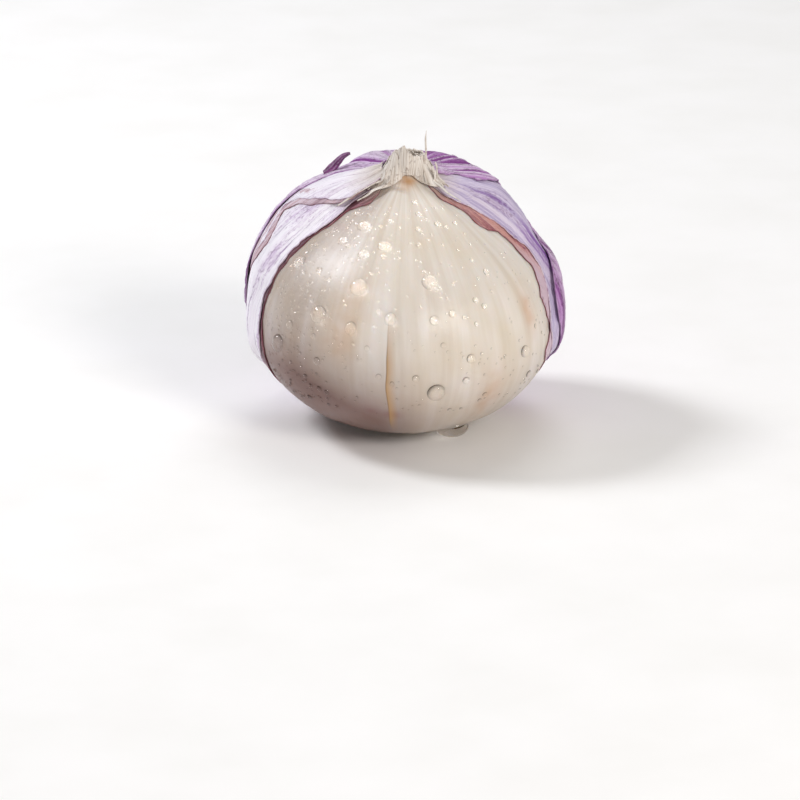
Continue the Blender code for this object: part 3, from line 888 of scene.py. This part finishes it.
def ribbon(name, knots, width, seed):
    """A strip of paper through (azimuth, share, stand-off, width share) knots."""
    shape = bmesh.new()
    bmesh.ops.create_grid(shape, x_segments=6, y_segments=48, size=0.5)
    rows = [(i / (len(knots) - 1), knot) for i, knot in enumerate(knots)]
    for vert in shape.verts:
        across, up = vert.co.x, vert.co.y + 0.5
        azimuth, share, off, wide = [along([(t, knot[n]) for t, knot in rows], up) for n in range(4)]
        radius, height, outward = on_line(min(share, 0.93))
        climb = max(share - 0.93, 0.0) * UP_MM
        if climb:
            height, radius = height + climb, radius + 0.2
        degrees = width * wide * across / max(radius * math.radians(1.0), 0.03)
        off += 0.05 * math.sin(up * 19.0 + seed) + 0.12 * (across * 2.0) ** 2 * math.sin(seed)
        vert.co = place(radius + outward.x * off, azimuth + degrees, height + outward.y * off)
        vert.co.x += NECK_LEAN * smooth((share - 0.90) / 0.04)
    return finished(name, shape, [NECK_STRAW], 0.09)


for number, (width, knots) in enumerate(RIBBONS, 1):
    ribbon("neck_ribbon_%d" % number, knots, width, float(number))

# %% the stray fibre
FIBRE_LINE = (Vector((2.5, -1.0, 35.2)), Vector((2.9, -1.1, 37.0)), Vector((2.4, -1.0, 38.3)),
              Vector((2.75, -0.9, 39.6)))


def build_fibre():
    """A tapering fibre: a small circle drawn out along a curved line."""
    shape = bmesh.new()
    line = geometry.interpolate_bezier(*FIBRE_LINE, 22)
    bmesh.ops.create_circle(shape, segments=7, radius=0.17, cap_ends=True, matrix=Matrix.Translation(line[0]))
    face = shape.faces[:][0]
    for step, point in enumerate(line[1:], 1):
        face = bmesh.ops.extrude_discrete_faces(shape, faces=[face])["faces"][0]
        shrink = 0.97 if step < 16 else 0.84
        bmesh.ops.translate(shape, vec=point - face.calc_center_median(), verts=face.verts)
        bmesh.ops.scale(shape, vec=(shrink, shrink, 1.0), verts=face.verts, space=Matrix.Translation(-point))
    bmesh.ops.recalc_face_normals(shape, faces=shape.faces)
    return finished("neck_fibre", shape, [NECK_STRAW])


neck_fibre = build_fibre()

# %% [markdown]
# ## The root plate and its roots
# The roots grew from a corky plate under the bulb. They are trimmed when the bulb is sold, which leaves short
# dry stubs round the plate. The plate is turned like the clove, with rough rings; a stub is a small cone bent
# outwards, and a seeded draw scatters them.

# %% the root material
def cork_material():
    """Corky plate and dry roots: brown, dusty, rough."""
    made, tree = new_material("corky_root_plate")
    where = add(tree, "TexCoord").outputs["Object"]
    dust = add(tree, "TexNoise", {"Vector": where, "Scale": 700.0, "Detail": 5.0, "Roughness": 0.65})
    cells = add(tree, "TexVoronoi", {"Vector": where, "Scale": 1600.0})
    colour = add(tree, "ValToRGB", {0: dust}, stops=[(0.30, "#6B4F38"), (0.72, "#CDB694"), (0.50, "#A08463")])
    height = add(tree, "Math", {0: cells, 1: 0.7, 2: dust}, operation="MULTIPLY_ADD")
    bump = add(tree, "Bump", {"Height": height, "Distance": 0.0003, "Strength": 0.9})
    return surfaced(made, {"Base Color": colour, "Normal": bump, "Roughness": 0.88, "Specular IOR Level": 0.2})


ROOT_CORK = cork_material()


# %% the root plate
PLATE_OUTLINE = [(0.0, 0.0), (1.2, 0.0), (1.5, 0.14), (1.8, 0.0), (2.7, 0.0), (3.0, 0.16), (3.3, 0.0),
                 (3.85, 0.0), (4.1, 0.25), (4.35, 0.7), (4.65, 1.2), (4.9, 1.65), (4.65, 1.9), (2.4, 1.9),
                 (0.0, 1.9)]


def build_root_plate():
    """A low disc with worn rings underneath, flat where the bulb stands on it."""
    shape = turned(PLATE_OUTLINE, 72)
    for vert in shape.verts:
        if 0.05 < vert.co.z < 1.85:
            vert.co += vert.co.normalized() * 0.16 * noise.noise(vert.co * 1.4)
    return finished("root_disc", shape, [ROOT_CORK])


root_disc = build_root_plate()
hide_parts("root_plate")


ROOT_COUNT = 90


def build_root_stubs():
    """Short trimmed roots round the plate, each a small six-sided cone."""
    shape = bmesh.new()
    for number in range(ROOT_COUNT):
        azimuth = number * 360.0 / ROOT_COUNT + random.uniform(-2.5, 2.5)
        start = place(random.uniform(3.9, 4.6), azimuth, random.uniform(0.45, 1.05))
        out = place(1.0, azimuth + random.uniform(-25.0, 25.0), random.uniform(-0.25, 0.25)).normalized()
        length = random.uniform(1.0, 2.6)
        thick = random.uniform(0.14, 0.24)
        lie = out.to_track_quat("Z", "Y").to_matrix().to_4x4()
        middle = Matrix.Translation(start + out * length * 0.4)
        made = bmesh.ops.create_cone(shape, segments=6, radius1=thick, radius2=thick * 0.55, depth=length,
                                     cap_ends=True, matrix=middle @ lie)
        for vert in made["verts"]:
            vert.co.z = max(vert.co.z, 0.08)
    return finished("root_stubs", shape, [ROOT_CORK])


root_stubs = build_root_stubs()

# %% [markdown]
# ## Water
# The clove is wet: large flattened beads, and fine mist between them. Water has an IOR of 1.33. A bead on a
# waxy surface is a low dome, so each is a ball pressed to under half its height and sunk halfway into the
# clove. The mist beads are balls of a few dozen faces.

# %% the water material
def water_material():
    """Clear water with a very faint ripple, and painted shade where the mesh marks a bead's foot as its dark
    outline.
    """
    made, tree = new_material("clear_water")
    where = add(tree, "TexCoord").outputs["Object"]
    ripple = add(tree, "TexNoise", {"Vector": where, "Scale": 300.0, "Detail": 1.0})
    bump = add(tree, "Bump", {"Height": ripple, "Distance": 0.00002, "Strength": 0.1})
    # painted shade: the near-black colour under the rim mark draws each bead's dark outline
    clear = coated(tree, "#FDFDFC", [(painted(tree, "rim"), "#120D0A")])
    return surfaced(made, {"Base Color": clear, "Normal": bump, "Roughness": 0.0, "IOR": 1.36,
                           "Transmission Weight": 1.0})


CLEAR_WATER = water_material()

# %% where the beads are: azimuth, share, radius, and height over width
BEADS = ((-22, 0.599, 1.20, 1.0), (-36, 0.786, 1.10, 0.75), (-46, 0.726, 0.80, 0.9), (-40, 0.715, 0.55, 0.6),
         (-26, 0.699, 0.75, 1.0), (-64, 0.619, 0.95, 1.0), (-38, 0.505, 1.20, 0.95), (-22, 0.485, 0.80, 1.1),
         (-6, 0.518, 0.80, 1.1), (-58, 0.391, 1.10, 1.1), (12, 0.619, 1.05, 1.0), (12, 0.512, 0.65, 1.0),
         (20, 0.525, 0.50, 1.0), (32, 0.552, 0.42, 1.0), (26, 0.398, 0.62, 1.0), (53, 0.378, 0.80, 1.0),
         (24, 0.338, 0.50, 1.0), (12, 0.311, 1.20, 1.0), (-36, 0.378, 0.55, 1.0), (-14, 0.733, 0.95, 0.8),
         (4, 0.358, 0.48, 1.0), (-52, 0.455, 0.55, 1.0), (-48, 0.62, 0.5, 1.0), (30, 0.80, 0.45, 1.0),
         (14, 0.885, 0.40, 1.0), (44, 0.62, 0.40, 1.4), (58, 0.30, 0.50, 1.0), (-10, 0.36, 0.42, 1.0))

# %% the beads
MIST_COUNT = 560
DROP_PLACE = (6.0, -8.7, 2.45)
DROP_SIZE = (2.3, 2.1, 1.6, 1.0)
BALL = bpy.data.meshes.new("one_ball")


def add_ball(shape, across, rows, matrix, press=None):
    """One ball of water, put where a matrix says. The foot of a pressed bead carries painted shade, strongest
    on the side towards the upper-left light.
    """
    ball = bmesh.new()
    rim = ball.verts.layers.float.new("rim")
    bmesh.ops.create_uvsphere(ball, u_segments=across, v_segments=rows, radius=1.0)
    if press:
        for vert in ball.verts:
            # painted shade for the bead's dark outline, stronger towards the upper left, where the light comes
            # from
            lit = 0.62 + 0.38 * (vert.co.y * 0.6 - vert.co.x * 0.8)
            vert[rim] = lit * smooth(1.0 - vert.co.z / 0.80)
        matrix = matrix @ press
    bmesh.ops.transform(ball, matrix=matrix, verts=ball.verts)
    ball.to_mesh(BALL)
    ball.free()
    shape.from_mesh(BALL)


def bead(shape, azimuth, share, radius, tall, detail):
    """Press one ball flat onto the clove."""
    here = clove_point(azimuth, share)
    side = clove_point(azimuth + 1.0, share) - here
    up = clove_point(azimuth, share + 0.01) - here
    outward = side.cross(up).normalized()
    turn = Matrix((side.normalized(), outward.cross(side).normalized(), outward)).transposed().to_4x4()
    press = Matrix.Diagonal((radius, radius * tall, radius * 0.64, 1.0))
    add_ball(shape, detail * 2, detail, Matrix.Translation(here) @ turn, press)


def build_water():
    """All the beads as one piece: the large ones by place, then a seeded mist, denser at the left."""
    shape = bmesh.new()
    shape.verts.layers.float.new("rim")
    for azimuth, share, radius, tall in BEADS:
        bead(shape, azimuth, share, radius, tall, 20)
    placed = [(a, s, r) for a, s, r, _ in BEADS]
    while len(placed) < MIST_COUNT:
        left = random.random() < 0.55
        azimuth = random.gauss(-52.0, 15.0) if left else random.uniform(-70.0, 70.0)
        share = random.uniform(0.22, 0.86)
        radius = min(0.10 + random.expovariate(1 / 0.075), 0.38)
        if abs(azimuth) > 70.0 - 20.0 * smooth((share - 0.7) / 0.2):
            continue
        scale = degree_mm(share)
        gaps = (math.hypot((azimuth - a) * scale, (share - s) * UP_MM) - r for a, s, r in placed)
        if any(gap < radius + 0.05 for gap in gaps):
            continue
        placed.append((azimuth, share, radius))
        bead(shape, azimuth, share, radius, random.uniform(0.9, 1.2), 5 if radius < 0.26 else 8)
    add_ball(shape, 32, 18, Matrix.Translation(DROP_PLACE) @ Matrix.Diagonal(DROP_SIZE))
    bpy.data.meshes.remove(BALL)
    return finished("water_beads", shape, [CLEAR_WATER])


water_beads = build_water()
water_beads.visible_shadow = False

# %% [markdown]
# ## Floor, light and camera
# A pale sweep of paper, a large soft light from the front right for the clove, one from the upper left for the
# white skins, and a weaker one behind. The background is white to the camera, and lights the bulb only softly.

# %% the floor
def floor_material():
    """Matt white paper with a barely visible grain."""
    made, tree = new_material("matt_white_paper")
    where = add(tree, "TexCoord").outputs["Object"]
    grain = add(tree, "TexNoise", {"Vector": where, "Scale": 60.0, "Detail": 3.0})
    tone = add(tree, "ValToRGB", {0: grain}, stops=[(0.3, "#F7F6F4"), (0.7, "#FBFAF9")])
    return surfaced(made, {"Base Color": tone, "Roughness": 0.9, "Specular IOR Level": 0.1})


shape = bmesh.new()
bmesh.ops.create_grid(shape, x_segments=8, y_segments=8, size=3.0)
floor_mesh = bpy.data.meshes.new("studio_floor")
shape.to_mesh(floor_mesh)
shape.free()
floor_mesh.materials.append(floor_material())
studio_floor = stood("studio_floor", floor_mesh)


# %% lights
LIGHT_AIM = Vector((0.0, 0.0, 0.016))


def soft_light(name, azimuth, elevation, distance, size, power, colour):
    """A square soft box that looks at the bulb's middle."""
    lamp = bpy.data.lights.new(name, "AREA")
    lamp.shape = "SQUARE"
    lamp.size = size
    lamp.energy = power
    lamp.color = paint(colour)[:3]
    made = stood(name, lamp)
    turn, rise = math.radians(azimuth), math.radians(elevation)
    out = Vector((math.sin(turn) * math.cos(rise), -math.cos(turn) * math.cos(rise), math.sin(rise)))
    made.location = LIGHT_AIM + out * distance
    made.rotation_euler = out.to_track_quat("Z", "Y").to_euler()
    print(name, "at", round(distance, 2), "m")


soft_light("key_front_right", 38.0, 27.0, 0.60, 0.18, 1.75, "#FFFAF5")
soft_light("key_upper_left", -108.0, 44.0, 0.55, 0.13, 1.7, "#F8FAFF")
soft_light("back_top", 165.0, 58.0, 0.60, 0.30, 0.8, "#FFFFFF")

# %% the white surround
world = bpy.data.worlds.new("white_surround")
bpy.context.scene.world = world
world.use_nodes = True
sky = world.node_tree
sky.nodes.clear()
seen = add(sky, "LightPath").outputs["Is Camera Ray"]
strength = add(sky, "MapRange", {0: seen, 3: 0.30, 4: 1.0})
backdrop = add(sky, "Background", {"Color": (1.0, 1.0, 1.0, 1.0), "Strength": strength})
add(sky, "OutputWorld", {"Surface": backdrop})
bpy.context.scene.view_settings.view_transform = "Standard"

# %% camera
LENS = 180.0
SENSOR = 36.0
SEEN_WIDTH = 0.1043
TILT_UP = 20.0
camera_data = bpy.data.cameras.new("camera")
camera_data.lens = LENS
camera_data.sensor_width = SENSOR
camera_data.clip_start = 0.01
camera = stood("camera", camera_data)
tilt = math.radians(TILT_UP)
aim = Vector((-0.65, 0.0, 2.64)) * MM
reach = SEEN_WIDTH * LENS / SENSOR
camera.location = aim + Vector((0.0, -math.cos(tilt), math.sin(tilt))) * reach
camera.rotation_euler = (math.radians(90.0) - tilt, 0.0, 0.0)
bpy.context.scene.camera = camera
print("camera", round(reach, 3), "m away,", TILT_UP, "degrees up")
